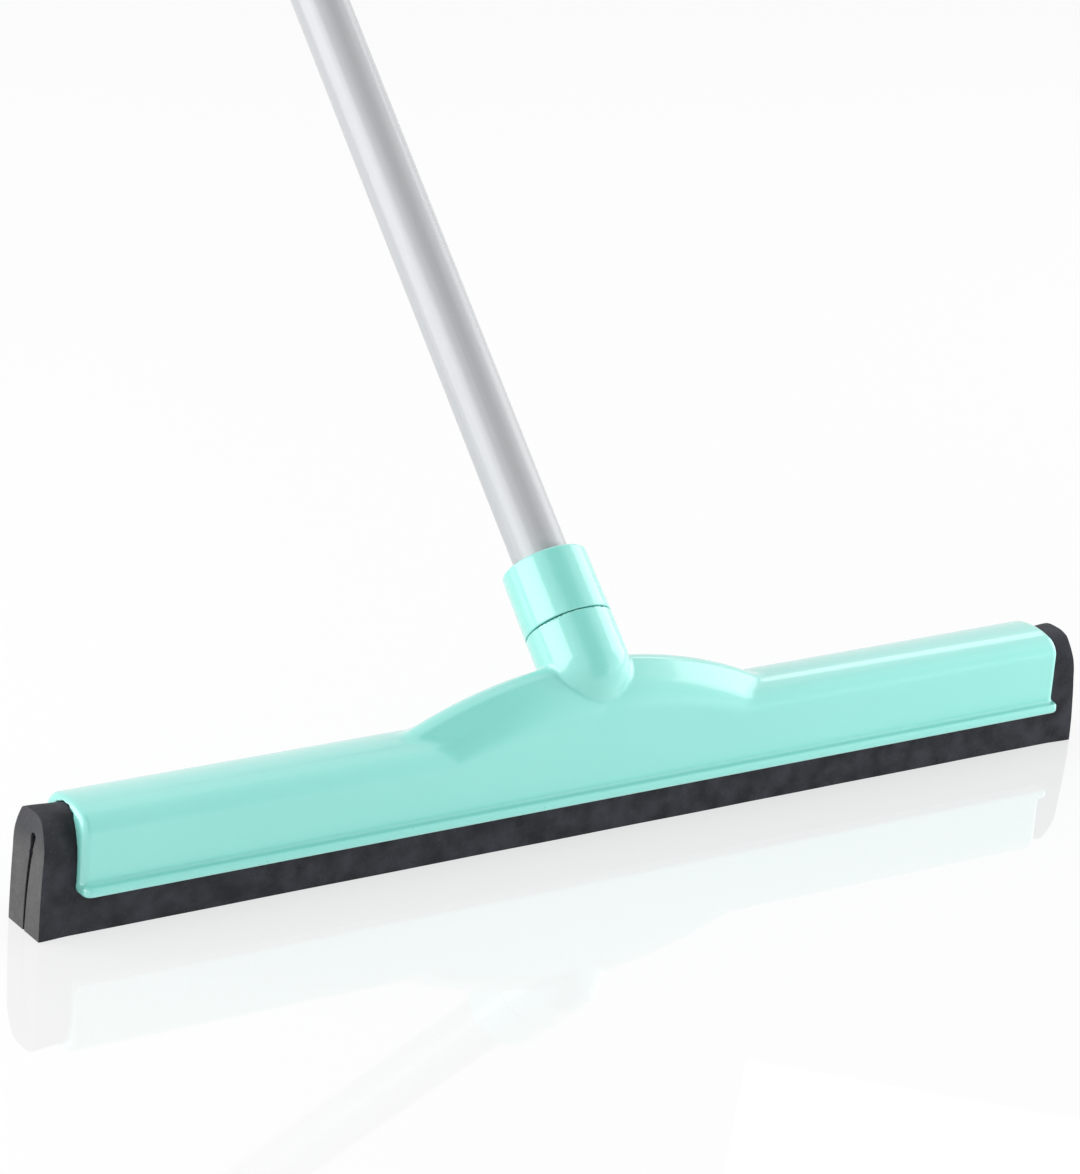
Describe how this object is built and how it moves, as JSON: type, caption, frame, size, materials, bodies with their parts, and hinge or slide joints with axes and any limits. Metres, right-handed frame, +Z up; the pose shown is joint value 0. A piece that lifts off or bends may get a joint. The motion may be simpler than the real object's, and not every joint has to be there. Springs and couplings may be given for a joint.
{
  "type": "floor squeegee",
  "caption": "Floor squeegee: a long moulded rail that grips a folded cellular rubber blade, with an arched socket and a twist collar that clamp a leaning tubular pole.",
  "frame": {"origin": "middle of the blade's foot, on the floor", "axes": "+X along the blade, +Y to the back, where the pole leans, +Z up"},
  "size_m": [0.45, 0.9895, 0.9647],
  "materials": {
    "mint_plastic": "glossy moulded polypropylene",
    "cellular_rubber": "matt closed-cell rubber with lighter cut ends",
    "lacquered_aluminium": "silver-grey satin lacquer",
    "natural_plastic": "natural, unpigmented"
  },
  "bodies": {
    "head": {"head_body": "mint_plastic", "foam_blade": "cellular_rubber"},
    "collet": {"clamp_collet": "natural_plastic"},
    "collar": {"lock_collar": "mint_plastic"},
    "pole": {"pole_tube": "lacquered_aluminium", "pole_foot_plug": "natural_plastic", "grip_cap": "mint_plastic"}
  },
  "joints": [
    {"name": "collet_lift", "type": "slide", "parent": "head", "child": "collet", "axis": [0, 0.7314, 0.682], "range_m": [0, 0.002]},
    {"name": "collar_twist", "type": "hinge", "parent": "collet", "child": "collar", "pos_m": [0, 0.0026, 0.0604], "axis": [0, 0.7314, 0.682], "range_deg": [0, 180]},
    {"name": "pole_pull", "type": "slide", "parent": "head", "child": "pole", "axis": [0, 0.7314, 0.682], "range_m": [0, 0.048]}
  ],
  "couplings": [
    {"joint": "collet_lift", "follows": "collar_twist", "m_per_rad": 0.0006366}
  ]
}
